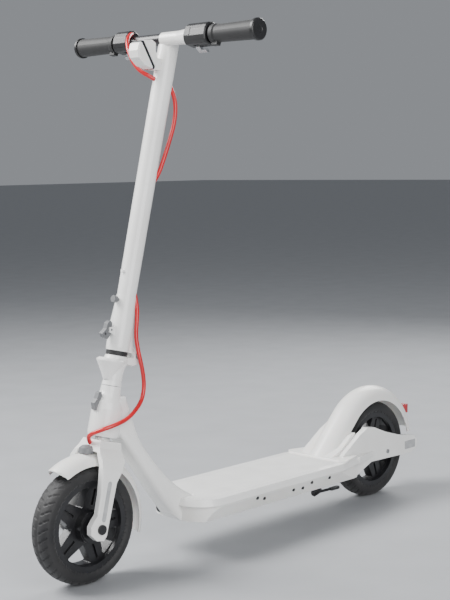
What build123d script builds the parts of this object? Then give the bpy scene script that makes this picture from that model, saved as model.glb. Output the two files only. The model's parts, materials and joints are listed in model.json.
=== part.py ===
"""Electric kick scooter: folding stem, spoked hub-motor wheels, flat deck, full rear fender.

Frame: +X forwards, +Y to the rider's left, +Z up, millimetres. The origin is on the ground,
under the middle of the overall length. The steered parts are drawn upright about the steering
axis, with X forwards and Z along the axis, and are then tilted into place by STEER.
"""
from build123d import *
from math import cos, pi, radians, sin, sqrt, tan
import os

# ---- driving dimensions -------------------------------------------------------------------
WHEELBASE = 838.0            # axle to axle
WHEEL_R = 108.0              # tyre outer radius, 8.5 inch class
TAIL_OVERHANG = 146.0        # tail light's rear face behind the rear axle
RAKE = 14.5                  # steering axis leans back from upright, degrees
FORK_OFFSET = 10.0           # axle ahead of the steering axis
BAR_HEIGHT = 989.5           # handlebar centre above the ground
BAR_FORWARD = 13.0           # handlebar centre ahead of the steering axis
BAR_HALF = 242.0             # half of the handlebar's overall width

DECK_TOP = 117.0             # standing surface
DECK_SKIN = 7.5              # deck plate's thickness over the battery
DECK_FLOOR = 73.0            # underside of the battery tray
DECK_HALF = 89.0             # half width over the deck's lip
DECK_SETBACK = 216.0         # deck's front edge behind the front axle
DECK_REAR = 122.0            # deck's rear edge ahead of the rear axle
AXLE_SETBACK = 12.0          # rear axle ahead of the tail's datum

TYRE_HALF = 23.5             # half of the tyre's section width
RIM_R = 84.0                 # outer radius of the rim's lip
RIM_HALF = 20.0              # half width over the rim's lips
HUB_R = 30.0                 # hub shell radius
HUB_HALF = 27.0              # half width of the hub
AXLE_R = 6.0                 # both axles
SPOKES = 5                   # double spokes in each wheel

FENDER_CROWN_R = 143.0       # rear fender's crown above the rear axle
FRONT_FENDER_R = 132.0       # front fender's crown above the front axle
FENDER_EDGE_GAP = 3.5        # fender's edge outside the tyre's tread
FENDER_HALF = 28.0           # half width of the front fender
REAR_FENDER_HALF = 33.0      # half width of the rear fender
FENDER_WALL = 2.5

FORK_OUTER = 50.0            # outer face of the fork legs from the centre plane
FORK_LEG = 12.0              # thickness of a fork leg
FORK_LEG_DEPTH = 34.0        # fore and aft size of a fork leg
ARM_OUTER = 57.0             # outer face of the rear arms
ARM_WALL = 13.0              # thickness of a rear arm

STEERER_R = 11.0             # steerer tube
HEAD_R = 29.5                # head tube, outside
HEAD_BOTTOM = 163.0          # along the steering axis, from the foot of the axle's normal
HEAD_TOP = 256.0
BEARING_R = 15.0             # headset bearings, outside
BEARING_H = 9.0
CROWN_TOP = 156.0            # top of the fork crown
BASE_TOP = 312.5             # top of the fold base
HINGE_S = 318.0              # fold hinge pin, along the steering axis
HINGE_BACK = 38.0            # fold hinge pin, behind the steering axis
HINGE_PIN_R = 4.0
FOOT_BOTTOM = 321.5          # underside of the stem foot
FOOT_TOP = 424.0
STEM_R_LOW = 17.3            # stem tube at its foot
STEM_R_TOP = 19.3            # stem tube under the handlebar
STEM_WALL = 2.5

BAR_R = 11.0                 # handlebar tube
GRIP_R = 16.8
GRIP_FLANGE_R = 19.8
CABLE_R = 3.9                # red brake cable, outside

RUN_GAP = 0.05               # radial running clearance of a shaft in its bearing
PART_GAP = 0.5               # clear gap between pieces that move past each other
SEAT_GAP = 0.2               # clearance of a piece in its pocket

# ---- places that follow from them ---------------------------------------------------------
OVERALL_LENGTH = WHEELBASE + WHEEL_R + TAIL_OVERHANG
REAR_X = TAIL_OVERHANG - OVERALL_LENGTH / 2
TAIL_X = REAR_X - AXLE_SETBACK
FRONT_X = REAR_X + WHEELBASE
DECK_FRONT_X = FRONT_X - DECK_SETBACK
DECK_REAR_X = REAR_X + DECK_REAR
STEER_X = FRONT_X - FORK_OFFSET * cos(radians(RAKE))
STEER_Z = WHEEL_R - FORK_OFFSET * sin(radians(RAKE))
STEER = Location((STEER_X, 0, STEER_Z), (0, -RAKE, 0))
BAR_S = (BAR_HEIGHT - STEER_Z - BAR_FORWARD * sin(radians(RAKE))) / cos(radians(RAKE))
FENDER_EDGE_R = WHEEL_R + FENDER_EDGE_GAP
FORK_INNER = FORK_OUTER - FORK_LEG
ARM_INNER = ARM_OUTER - ARM_WALL
SIDES = (1, -1)


# ---- helpers ------------------------------------------------------------------------------
def bar(radius, start, end):
    """A round bar from one point to another."""
    a = Vector(*start)
    b = Vector(*end)
    return Solid.make_cylinder(radius, (b - a).length, Plane(origin=a, z_dir=b - a))


def block(x0, x1, y0, y1, z0, z1):
    """A box between two corners."""
    centre = Pos((x0 + x1) / 2, (y0 + y1) / 2, (z0 + z1) / 2)
    return centre * Box(x1 - x0, y1 - y0, z1 - z0)


def outline(points, corner=0.0):
    """A flat face from its corner points, with its corners rounded."""
    face = make_face(Polyline(*points, close=True))
    return fillet(face.vertices(), corner) if corner else face


def side_plate(points, y0, y1, corner=0.0):
    """A plate drawn in side view (X, Z) and pushed from y0 to y1."""
    return extrude(Plane.XZ.offset(-y1) * outline(points, corner), amount=y1 - y0)


def flat_plate(points, z0, z1, corner=0.0):
    """A plate drawn in plan (X, Y) and pushed from z0 to z1."""
    return extrude(Plane.XY.offset(z0) * outline(points, corner), amount=z1 - z0)


def turned(points):
    """A turned piece about Z, from (radius, height) points."""
    return revolve(Plane.XZ * outline(points), axis=Axis.Z)


def wheel_turned(points):
    """A turned piece about Y, from (radius, sideways) points."""
    return revolve(outline(points), axis=Axis.Y)


def arc_swept(face, start, sweep):
    """A section drawn with X as the radius, swept upwards from +X about the Y axis."""
    return Rot(0, -start, 0) * revolve(face, axis=Axis((0, 0, 0), (0, -1, 0)), revolution_arc=sweep)


# ---- wheels -------------------------------------------------------------------------------
def tyre():
    """Air tyre with a flat crown, round shoulders and open beads that seat on the rim."""
    crown, shoulder, wall, bead = 11.0, 19.5, 4.0, 15.5
    outer = [(RIM_R - 6, bead), (RIM_R, bead), (RIM_R, RIM_HALF), (RIM_R + 6, TYRE_HALF),
             (RIM_R + 13, TYRE_HALF), (WHEEL_R - 3, shoulder), (WHEEL_R, crown)]
    inner = [(WHEEL_R - wall - 2, crown), (WHEEL_R - wall - 4, shoulder - wall),
             (RIM_R + 11, TYRE_HALF - wall), (RIM_R + 6, TYRE_HALF - wall), (RIM_R, bead - wall),
             (RIM_R - 6, bead - wall)]
    right = [(r, y) for r, y in outer] + [(r, -y) for r, y in reversed(outer)]
    left = [(r, -y) for r, y in inner] + [(r, y) for r, y in reversed(inner)]
    return wheel_turned(right + left)


def rim():
    """Cast wheel: rim barrel with lips, five double spokes and a hub shell with a cavity."""
    seat, lip = RIM_R - 6, 4.0
    barrel = wheel_turned([(seat - 5, -RIM_HALF), (RIM_R, -RIM_HALF), (RIM_R, -RIM_HALF + lip),
                           (seat, -RIM_HALF + lip), (seat, RIM_HALF - lip), (RIM_R, RIM_HALF - lip),
                           (RIM_R, RIM_HALF), (seat - 5, RIM_HALF)])
    web_half, groove_half, groove_deep = 10.0, 2.6, 5.0
    web = wheel_turned([(HUB_R - 4, -web_half), (seat - 4, -web_half), (seat - 4, web_half),
                        (HUB_R - 4, web_half)])
    window_r, apex_r, window_angle = seat - 6, HUB_R + 5, 24.5
    base_half = window_r * sin(radians(window_angle))
    base_r = window_r * cos(radians(window_angle))
    for index in range(SPOKES):
        turn = Rot(0, index * 360 / SPOKES, 0)
        web -= turn * side_plate([(apex_r, 0), (base_r, base_half), (window_r, 0),
                                  (base_r, -base_half)], -web_half - 1, web_half + 1, 3.0)
        spoke_turn = Rot(0, (index + 0.5) * 360 / SPOKES, 0)
        for side in SIDES:
            y0, y1 = sorted((side * (web_half - groove_deep), side * (web_half + 1)))
            web -= spoke_turn * side_plate([(HUB_R + 8, -groove_half), (seat - 10, -groove_half),
                                            (seat - 10, groove_half), (HUB_R + 8, groove_half)], y0, y1, 1.2)
    cavity_r, cavity_half = HUB_R - 5, HUB_HALF - 7
    shell = wheel_turned([(BEARING_BORE, -HUB_HALF), (HUB_R - 3, -HUB_HALF), (HUB_R, -HUB_HALF + 3),
                          (HUB_R, HUB_HALF), (cavity_r, HUB_HALF), (cavity_r, -cavity_half),
                          (BEARING_BORE, -cavity_half)])
    return barrel + web + shell


BEARING_BORE = 13.0          # wheel bearings, outside
BEARING_WIDE = 7.0


def hub_cover():
    """Left hub cover that closes the hub shell and carries the left bearing."""
    cavity_r = HUB_R - 5
    return wheel_turned([(BEARING_BORE, HUB_HALF - BEARING_WIDE), (cavity_r, HUB_HALF - BEARING_WIDE),
                         (cavity_r, HUB_HALF), (HUB_R - 2, HUB_HALF), (HUB_R - 2, HUB_HALF + 2),
                         (BEARING_BORE, HUB_HALF + 2)])


def wheel_bearings():
    """The two ball bearings of one wheel, as closed rings."""
    ring = [(AXLE_R + RUN_GAP, HUB_HALF - BEARING_WIDE), (BEARING_BORE, HUB_HALF - BEARING_WIDE),
            (BEARING_BORE, HUB_HALF), (AXLE_R + RUN_GAP, HUB_HALF)]
    left = wheel_turned(ring)
    right = wheel_turned([(r, -y) for r, y in ring])
    return Compound(children=[left, right])


def motor_magnets():
    """Ring of magnets in the front hub shell."""
    outer = HUB_R - 5
    return wheel_turned([(outer - 3, -16), (outer, -16), (outer, 16), (outer - 3, 16)])


def motor_stator():
    """Wound stator on the front axle, with twelve teeth."""
    outer = HUB_R - 8 - PART_GAP
    stator = wheel_turned([(AXLE_R, -14), (outer, -14), (outer, 14), (AXLE_R, 14)])
    teeth, slot = 12, 1.5
    for index in range(teeth):
        stator -= Rot(0, index * 360 / teeth, 0) * block(outer - 9, outer + 1, -15, 15, -slot, slot)
    return stator


def brake_plate():
    """Drum brake in the rear hub: backing plate and two shoes, fixed on the axle."""
    outer = HUB_R - 5 - PART_GAP
    shoes = wheel_turned([(outer - 6, -8), (outer, -8), (outer, 8), (outer - 6, 8)])
    shoes -= block(-2, 2, -9, 9, -outer - 1, outer + 1)
    plate = wheel_turned([(AXLE_R, 8), (outer, 8), (outer, 11), (AXLE_R, 11)])
    return plate + shoes


def at_front_axle(shape):
    return Pos(FRONT_X, 0, WHEEL_R) * shape


def at_rear_axle(shape):
    return Pos(REAR_X, 0, WHEEL_R) * shape


# ---- chassis ------------------------------------------------------------------------------
def neck_profile():
    """Side view of the down tube, from the deck up to the head tube."""
    rise = DECK_TOP - 117.0
    rear = [(REAR_LAND, DECK_TOP), (FRONT_X - 205, 153 + rise), (FRONT_X - 157, 204 + rise / 2),
            (FRONT_X - 122, 253), (FRONT_X - 104, 300), (FRONT_X - 92, 334)]
    curve = Spline(*rear)
    front = [(FRONT_X - 92, 334), (FRONT_X - 70, 334), (FRONT_X - 44, 285), (FRONT_X - 66, 275),
             (FRONT_X - 119, 204), (FRONT_X - 173, 129 + rise), (FRONT_X - 205, DECK_FLOOR + 15),
             (FRONT_X - 222, DECK_FLOOR), (REAR_LAND, DECK_FLOOR), (REAR_LAND, DECK_TOP)]
    return make_face(Curve() + [curve, Polyline(*front)])


REAR_LAND = DECK_FRONT_X - 42.0   # where the down tube's upper side meets the deck
NECK_HALF = 25.0                  # half width of the down tube
NECK_ROUND = 11.0                 # its rounded edges


def frame_neck():
    """Aluminium neck: down tube and head tube in one casting, bored for the headset."""
    tube = extrude(Plane.XZ.offset(-NECK_HALF) * neck_profile(), amount=2 * NECK_HALF)
    long_edges = [e for e in tube.edges() if abs(abs(e.center().Y) - NECK_HALF) < 0.01
                  and e.center().Z > DECK_TOP - 1 and e.length > 20]
    tube = fillet(long_edges, NECK_ROUND)
    swell = HEAD_R - 18.5
    rings = [(HEAD_BOTTOM, HEAD_R - 1.5), (HEAD_BOTTOM + 6, HEAD_R), (HEAD_BOTTOM + 50, HEAD_R),
             (HEAD_BOTTOM + 62, HEAD_R - 0.25 * swell), (HEAD_BOTTOM + 72, HEAD_R - 0.65 * swell),
             (HEAD_BOTTOM + 82, HEAD_R - 0.92 * swell), (HEAD_TOP, HEAD_R - swell)]
    head = turned([(0, HEAD_BOTTOM)] + [(r, s) for s, r in rings] + [(0, HEAD_TOP)])
    body = tube + STEER * head
    bore = bar(STEERER_R + 1, (0, 0, HEAD_BOTTOM - 60), (0, 0, HEAD_TOP + 60))
    low = bar(BEARING_R, (0, 0, HEAD_BOTTOM - 1), (0, 0, HEAD_BOTTOM + BEARING_H - 2))
    high = bar(BEARING_R, (0, 0, HEAD_TOP - BEARING_H), (0, 0, HEAD_TOP + 60))
    under = bar(HEAD_R + 30, (0, 0, HEAD_BOTTOM - 60), (0, 0, HEAD_BOTTOM))
    under = under & block(-HEAD_R - 4, 2 * HEAD_R, -60, 60, 0, HEAD_BOTTOM)
    above = bar(60, (0, 0, HEAD_TOP), (0, 0, HEAD_TOP + 100))
    return body - STEER * (bore + low + high + under + above)


def headset_bearings():
    """Upper and lower headset bearings; the lower one shows below the head tube."""
    inner = STEERER_R + RUN_GAP
    low = turned([(inner, HEAD_BOTTOM - 2), (BEARING_R, HEAD_BOTTOM - 2),
                  (BEARING_R, HEAD_BOTTOM + BEARING_H - 2), (inner, HEAD_BOTTOM + BEARING_H - 2)])
    high = turned([(inner, HEAD_TOP - BEARING_H), (BEARING_R, HEAD_TOP - BEARING_H),
                   (BEARING_R, HEAD_TOP), (inner, HEAD_TOP)])
    return STEER * Compound(children=[low, high])


TAPER_X = TAIL_X + 205.0     # where the deck starts to narrow towards the rear wheel
TAIL_HALF = 74.0             # half width of the deck at its rear edge
LIP_Z = 104.0                # underside of the deck's lip


def deck_plan(inset=0.0):
    """Plan of the deck: rounded front corners, narrowing tail."""
    half, front, rear = DECK_HALF - inset, DECK_FRONT_X - inset, DECK_REAR_X
    tail = TAIL_HALF - inset
    plan = outline([(front, -half), (front, half), (TAPER_X, half), (rear, tail), (rear, -tail),
                    (TAPER_X, -half)])
    corners = [v for v in plan.vertices() if v.X > front - 1]
    return fillet(corners, 62.0 - inset)


def deck_plate(neck):
    """Deck plate with a sloped, rounded lip, hollow underneath."""
    lip = LIP_Z
    plate = extrude(Plane.XY.offset(lip) * deck_plan(), amount=DECK_TOP - lip)
    top = [e for e in plate.edges() if e.center().Z > DECK_TOP - 0.1 and e.center().X > DECK_REAR_X + 1]
    plate = chamfer(top, 5.0, 12.0, reference=plate.faces().sort_by(Axis.Z)[-1])
    pocket = extrude(Plane.XY.offset(lip - 1) * deck_plan(7.5), amount=1 + DECK_TOP - lip - DECK_SKIN)
    plate -= pocket & block(DECK_REAR_X + 4, DECK_FRONT_X, -DECK_HALF, DECK_HALF, 0, DECK_TOP)
    mat = deck_mat_solid(SEAT_GAP)
    return plate - mat - neck


MAT_DEEP = 2.5               # the mat is let into the deck plate
MAT_MARGIN = 21.0            # flat rim between the mat and the lip


def deck_mat_solid(gap=0.0):
    """Block of the deck mat, wider by the gap for its pocket."""
    half = DECK_HALF - MAT_MARGIN + gap
    front, rear = DECK_FRONT_X - 30 + gap, TAIL_X + COVER_FRONT + SEAT_GAP - gap
    plan = outline([(rear, -half), (front, -half), (front, half), (rear, half)])
    corners = [v for v in plan.vertices() if v.X > front - 1]
    return extrude(Plane.XY.offset(DECK_TOP - MAT_DEEP) * fillet(corners, 40.0), amount=MAT_DEEP)


def deck_mat(neck):
    """Rubber mat, cut round the foot of the down tube."""
    foot_half = NECK_HALF + 2.0
    foot = block(REAR_LAND - 5, DECK_FRONT_X, -foot_half, foot_half, DECK_FLOOR, DECK_TOP + 1)
    return deck_mat_solid() - foot - neck


TRAY_TOP_HALF = 81.0
TRAY_LOW_HALF = 69.0
TRAY_WALL = 3.0
# Places of the side screws, ahead of the tail's datum and above the ground.
SCREW_SPOTS = ((470, 95.5), (447, 90), (358, 90), (328, 88), (303, 95.5), (245, 95))
SCREW_R = 3.4


def tray_section(inset):
    """Cross-section of the battery tray as (Y, Z) points."""
    top, low = TRAY_TOP_HALF - inset, TRAY_LOW_HALF - 0.8 * inset
    floor, bend = DECK_FLOOR + inset, LIP_Z - 6.0
    return [(-low, floor), (low, floor), (top, bend), (top, LIP_Z), (-top, LIP_Z), (-top, bend)]


def tray_prism(inset, x0, x1):
    """The tray's cross-section pushed along the deck."""
    face = Plane.YZ.offset(x0) * outline(tray_section(inset))
    return extrude(face, amount=x1 - x0)


def wall_at(z):
    """Half width of the tray's outside at a height."""
    bend = LIP_Z - 6.0
    share = min(1.0, max(0.0, (z - DECK_FLOOR) / (bend - DECK_FLOOR)))
    return TRAY_LOW_HALF + (TRAY_TOP_HALF - TRAY_LOW_HALF) * share


def deck_screws():
    """Dark button-head screws along both sides of the tray."""
    screws = []
    for x, z in SCREW_SPOTS:
        spot = TAIL_X + x
        for side in SIDES:
            screws.append(bar(SCREW_R, (spot, side * (wall_at(z) - 6), z), (spot, side * (wall_at(z) + 1.4), z)))
    return Compound(children=screws)


PORT_Y = -37.0                # charging port on the tray's front wall
PORT_Z = 87.0
PORT_R = 7.0
TRAY_FRONT_X = DECK_FRONT_X - 8.0


def deck_shell(neck):
    """Battery tray under the deck plate, open on top."""
    solid = tray_prism(0, DECK_REAR_X, TRAY_FRONT_X)
    plan = extrude(Plane.XY * deck_plan(8.0), amount=DECK_TOP)
    solid = solid & plan
    hollow = tray_prism(TRAY_WALL, DECK_REAR_X + 4, TRAY_FRONT_X - 5)
    hollow = hollow & extrude(Plane.XY * deck_plan(8.0 + TRAY_WALL + 1), amount=DECK_TOP)
    shell = solid - hollow
    for screw in deck_screws().solids():
        shell -= screw
    shell -= bar(PORT_R, (TRAY_FRONT_X - 20, PORT_Y, PORT_Z), (TRAY_FRONT_X + 5, PORT_Y, PORT_Z))
    return shell - neck


def battery_pack():
    """Battery block in the tray, with a rounded case."""
    top = DECK_TOP - DECK_SKIN - 1.5
    pack = block(TAIL_X + 158, DECK_FRONT_X - 170, -60, 60, DECK_FLOOR + TRAY_WALL, top)
    return fillet(pack.edges().filter_by(Axis.Z), 8.0)


def motor_controller():
    """Finned controller box ahead of the battery."""
    x0, x1, top = DECK_FRONT_X - 160, DECK_FRONT_X - 60, LIP_Z + 2
    box = block(x0, x1, -38, 38, DECK_FLOOR + TRAY_WALL, top)
    for index in range(7):
        x = x0 + 14 + index * 12
        box -= block(x - 2, x + 2, -39, 39, top - 5, top + 1)
    return box


def charge_socket():
    """Charging socket behind the tray's front wall, with one round recess."""
    back, face = TRAY_FRONT_X - 16, TRAY_FRONT_X - 1
    socket = bar(PORT_R - SEAT_GAP, (back, PORT_Y, PORT_Z), (face, PORT_Y, PORT_Z))
    socket -= bar(PORT_R - 3, (back + 5, PORT_Y, PORT_Z), (face + 1, PORT_Y, PORT_Z))
    return socket + bar(1.2, (back + 4, PORT_Y, PORT_Z), (face - 3, PORT_Y, PORT_Z))


CAP_HINGE_Z = PORT_Z + PORT_R + 2.5


def charge_cap():
    """Rubber flap over the charging port, hinged at its top edge."""
    x0 = TRAY_FRONT_X + PART_GAP
    flap = bar(PORT_R + 1.2, (x0, PORT_Y, PORT_Z), (x0 + 2.2, PORT_Y, PORT_Z))
    tab = block(x0, x0 + 2.2, PORT_Y - 4, PORT_Y + 4, PORT_Z, CAP_HINGE_Z)
    return flap + tab + bar(1.1, (x0 + 1.1, PORT_Y - 5, CAP_HINGE_Z), (x0 + 1.1, PORT_Y + 5, CAP_HINGE_Z))


def rear_arms():
    """The two rear arms that carry the axle, each flaring out to meet the deck's side."""
    x = TAIL_X
    low, tip, hump = 92.0, 110.0, 173.0
    profile = [(x + 205, DECK_FLOOR - 3), (x + 130, DECK_FLOOR - 4), (x + 98, 83), (x + 70, low + 2),
               (x - 78, low - 2), (x - 98, tip - 12), (x - 103, tip + 4), (x - 90, tip + 19),
               (x - 40, 136), (x + 20, 154), (x + 60, hump - 3), (x + 84, hump), (x + 112, 160),
               (x + 150, 136), (x + 205, LIP_Z - 2)]
    arms = []
    for side in SIDES:
        y0, y1 = sorted((side * ARM_INNER, side * ARM_OUTER))
        plate = side_plate(profile, y0, y1, 5.0)
        wedge = [(DECK_REAR_X, side * (ARM_INNER + 1)), (DECK_REAR_X, side * TAIL_HALF),
                 (x + 68, side * (ARM_OUTER + 1)), (x + 40, side * (ARM_OUTER - 2)),
                 (x + 40, side * (ARM_INNER + 1))]
        arm = plate + flat_plate(wedge, LIP_Z, DECK_TOP)
        arm -= block(DECK_REAR_X, x + 400, -DECK_HALF, DECK_HALF, 0, DECK_TOP)
        arm -= flat_plate(cover_plan(SEAT_GAP), DECK_TOP - 1, DECK_TOP + COVER_H)
        arm -= bar(AXLE_R, (REAR_X, side * 40, WHEEL_R), (REAR_X, side * (ARM_OUTER - 3), WHEEL_R))
        arm -= bar(BOLT_R, (REAR_X, side * 40, WHEEL_R), (REAR_X, side * 70, WHEEL_R))
        arm -= reflector_block(side, SEAT_GAP)
        arms.append(arm)
    return Compound(children=arms)


def reflector_block(side, gap=0.0):
    """Rectangular reflector let into the outer face of a rear arm."""
    x0, x1, z0, z1 = TAIL_X - 93, TAIL_X - 54, 101.0, 119.0
    y0, y1 = sorted((side * (ARM_OUTER - 3 - gap), side * (ARM_OUTER + 0.6)))
    return block(x0 - gap, x1 + gap, y0, y1, z0 - gap, z1 + gap)


def rear_reflectors():
    return Compound(children=[reflector_block(side) for side in SIDES])


def axle(half):
    """Plain steel axle."""
    return bar(AXLE_R, (0, -half, 0), (0, half, 0))


BOLT_R = 2.5                 # bolts that hold the rear axle from outside


def rear_axle_bolts():
    """A button-head bolt on the outer face of each rear arm."""
    bolts = []
    for side in SIDES:
        shank = bar(BOLT_R, (0, side * (ARM_OUTER - 3), 0), (0, side * (ARM_OUTER + 1), 0))
        bolts.append(shank + bar(BOLT_R + 2, (0, side * ARM_OUTER, 0), (0, side * (ARM_OUTER + 2.2), 0)))
    return Compound(children=bolts)


def axle_ends(inner, radius, thick):
    """A nut or cap on each end of an axle, screwed over the axle's end."""
    caps = []
    for side in SIDES:
        cap = bar(radius, (0, side * inner, 0), (0, side * (inner + thick), 0))
        cap -= bar(AXLE_R, (0, side * (inner - 1), 0), (0, side * (inner + thick - 2), 0))
        caps.append(cap)
    return Compound(children=caps)


def fender_section(crown, half):
    """U section of a fender: a round crown, with both edges just outside the tread."""
    outer = ThreePointArc((FENDER_EDGE_R, -half), (crown, 0), (FENDER_EDGE_R, half))
    inner_half = half - FENDER_WALL
    inner = ThreePointArc((FENDER_EDGE_R, inner_half), (crown - FENDER_WALL, 0), (FENDER_EDGE_R, -inner_half))
    right = Line((FENDER_EDGE_R, half), (FENDER_EDGE_R, inner_half))
    left = Line((FENDER_EDGE_R, -inner_half), (FENDER_EDGE_R, -half))
    return make_face(Curve() + [outer, right, inner, left])


COVER_H = 5.0                # rear cover's plate above the deck
COVER_FRONT = 203.0          # rear cover's front edge ahead of the tail's datum
FENDER_LEAVES = 45.0         # angle where the rear fender leaves its circle for the deck
FENDER_ENDS = 168.0


def cover_plan(gap=0.0):
    """Plan of the rear cover on the deck, with its front corners cut."""
    x0, x1 = DECK_REAR_X + 1 - gap, TAIL_X + COVER_FRONT + gap
    half, corner = DECK_HALF - 5.0 + gap, 14.0
    side = [(x1, half - corner), (x1 - corner, half), (TAPER_X - 20, half), (x0, TAIL_HALF - 6 + gap)]
    return side + [(x, -y) for x, y in reversed(side)]


def rear_skirt():
    """Filler between the arms, from the fender's foot down to the deck's cover."""
    wheel_room = FENDER_EDGE_R + 2.5
    top = 52.0
    start = sqrt(wheel_room ** 2 - (top + 4) ** 2)
    low = DECK_TOP - WHEEL_R
    profile = [(start, top + 4), (start + 14, top), (144, 29), (184, low + 3), (184, low), (60, low)]
    half = ARM_INNER - SEAT_GAP
    skirt = side_plate(profile, -half, half)
    inside = wheel_turned([(0, -half - 1), (wheel_room, -half - 1), (wheel_room, half + 1), (0, half + 1)])
    return skirt - inside


def rear_fender():
    """Full rear fender that runs down into a flat cover on the deck."""
    section = fender_section(FENDER_CROWN_R, REAR_FENDER_HALF)
    hoop = arc_swept(section, FENDER_LEAVES, FENDER_ENDS - FENDER_LEAVES)
    ramp = Rot(0, -FENDER_LEAVES, 0) * extrude(section, amount=-2 * FENDER_EDGE_R)
    foot = COVER_FRONT - AXLE_SETBACK - 1.0
    keep = block(-FENDER_CROWN_R, foot, -60, 60, DECK_TOP - WHEEL_R, 300)
    hood = at_rear_axle(hoop + (ramp & keep) + rear_skirt())
    x0 = DECK_REAR_X + 1
    cover = flat_plate(cover_plan(), DECK_TOP, DECK_TOP + COVER_H)
    edges = [e for e in cover.edges() if e.center().Z > DECK_TOP + COVER_H - 0.1 and e.center().X > x0 + 1]
    cover = fillet(edges, 2.5)
    fender = hood + cover
    fender -= at_rear_axle(tail_light_block(SEAT_GAP))
    return fender


def tail_light_block(gap=0.0):
    """Body of the tail light, standing out of the fender's back."""
    half, low, high = 10.0 + gap, 62.0 - gap, 82.0 + gap
    lamp = block(-TAIL_OVERHANG, -TAIL_OVERHANG + 34, -half, half, low, high)
    lamp = fillet(lamp.faces().sort_by(Axis.X)[0].edges(), 6.0)
    seat = FENDER_CROWN_R - 2.3 - gap
    return lamp - bar(seat, (0, -60, 0), (0, 60, 0))


def tail_light():
    return at_rear_axle(tail_light_block())


STAND_X = TAIL_X + 263.0     # kickstand pivot
STAND_Y = 54.0
STAND_Z = DECK_FLOOR - 12.0
STAND_SPLAY = 35.0           # the open stand's angle from upright, degrees
STAND_AXIS = (0.0, -cos(radians(STAND_SPLAY)), -sin(radians(STAND_SPLAY)))
STAND_LENGTH = 58.0


def kickstand_bracket():
    """Bracket under the tray: a base plate and an angled boss for the kickstand's pivot."""
    base = block(STAND_X - 22, STAND_X + 22, STAND_Y - 26, STAND_Y + 8, DECK_FLOOR - 3, DECK_FLOOR)
    axis = Vector(*STAND_AXIS).normalized()
    centre = Vector(STAND_X, STAND_Y, STAND_Z)
    boss = bar(7.0, tuple(centre - axis * 16), tuple(centre - axis * (4 + PART_GAP)))
    boss = boss & block(STAND_X - 30, STAND_X + 30, 0, 200, 0, DECK_FLOOR - 1)
    return base + boss - kickstand_pin()


def kickstand_pin():
    """Pivot pin of the kickstand, with a flat head."""
    axis = Vector(*STAND_AXIS).normalized()
    centre = Vector(STAND_X, STAND_Y, STAND_Z)
    pin = bar(3.0, tuple(centre - axis * 12), tuple(centre + axis * 4.6))
    return pin + bar(5.0, tuple(centre + axis * (4 + PART_GAP)), tuple(centre + axis * 6.5))


def kickstand():
    """Side stand, folded back along the tray, with a flat foot."""
    axis = Vector(*STAND_AXIS).normalized()
    centre = Vector(STAND_X, STAND_Y, STAND_Z)
    eye = bar(7.0, tuple(centre - axis * 4), tuple(centre + axis * 4))
    out = Vector(-1, 0.10, 0.0).normalized()
    leg = bar(3.0, tuple(centre + out * 3), tuple(centre + out * STAND_LENGTH))
    foot_at = centre + out * STAND_LENGTH
    foot = Pos(foot_at.X, foot_at.Y, foot_at.Z) * Box(30, 11, 5)
    foot = fillet(foot.edges().filter_by(Axis.Z), 5.0)
    return eye + leg + foot - bar(3.0 + RUN_GAP, tuple(centre - axis * 8), tuple(centre + axis * 8))


def front_hook():
    """Small grey hook plate on the front of the head tube."""
    s0 = HEAD_BOTTOM + 44
    plate = [(HEAD_R - 6, s0), (HEAD_R + 4, s0 + 2), (HEAD_R + 8, s0 + 14), (HEAD_R + 3, s0 + 22),
             (HEAD_R + 1, s0 + 34), (HEAD_R - 5, s0 + 36), (HEAD_R - 9, s0 + 20)]
    return side_plate(plate, -5, 5, 1.5)


# ---- fork and fold base -------------------------------------------------------------------
ARCH_S = FRONT_FENDER_R + 3.0     # underside of the crown's arch


def fork():
    """Cast fork: round-shouldered crown and two legs with bossed dropouts."""
    o, i, top = FORK_OUTER, FORK_INNER, CROWN_TOP
    front = [(-25, top), (25, top), (30, top - 14), (o - 5, top - 34), (o, top - 50), (o, -22),
             (i, -22), (i, ARCH_S - 24), (i - 12, ARCH_S), (-i + 12, ARCH_S), (-i, ARCH_S - 24),
             (-i, -22), (-o, -22), (-o, top - 50), (-o + 5, top - 34), (-30, top - 14)]
    leg_x = FORK_OFFSET - 3
    half = FORK_LEG_DEPTH / 2
    face = Plane.YZ.offset(leg_x - half) * outline(front)
    body = extrude(face, amount=2 * half)
    side = [(leg_x - half + 3, -8), (FORK_OFFSET - 10, -20), (FORK_OFFSET + 6, -21),
            (FORK_OFFSET + 22, -12), (FORK_OFFSET + 25, 2), (FORK_OFFSET + 20, 14),
            (leg_x + half, 24), (leg_x + half, 60), (30, 108), (31, 134), (24, top),
            (-24, top), (-26, 128), (leg_x - half, 90)]
    profile = side_plate(side, -60, 60)
    wide = extrude(Plane.YZ.offset(-60) * outline(front), amount=120)
    body = wide & profile
    round_off = [e for e in body.edges() if abs(abs(e.center().Y) - o) < 0.5 and e.length > 20]
    body = fillet(round_off, 3.0)
    race = HEAD_BOTTOM - 2.3
    body += bar(BEARING_R - 1.5, (0, 0, top - 2), (0, 0, race))
    body -= bar(STEERER_R, (0, 0, ARCH_S + 4), (0, 0, race + 1))
    for sign in SIDES:
        body -= bar(AXLE_R, (FORK_OFFSET, sign * 30, 0), (FORK_OFFSET, sign * 60, 0))
        body -= fork_slot(sign, SEAT_GAP, 1.0)
    return STEER * body


def fork_slot(sign, gap, proud):
    """Long round-ended slot in a fork leg's outer face, or the strip that fills it."""
    low, high, radius, deep = 18.0, 82.0, 4.6, 2.2
    middle = FORK_OFFSET - 2.0
    y0, y1 = sorted((sign * (FORK_OUTER - deep - gap), sign * (FORK_OUTER + proud)))
    strip = block(middle - radius - gap, middle + radius + gap, y0, y1, low, high)
    for s in (low, high):
        strip += bar(radius + gap, (middle, y0, s), (middle, y1, s))
    return strip


def fork_reflectors():
    """Grey reflecting strips in the fork legs."""
    return STEER * Compound(children=[fork_slot(sign, 0.0, -0.5) for sign in SIDES])


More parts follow.
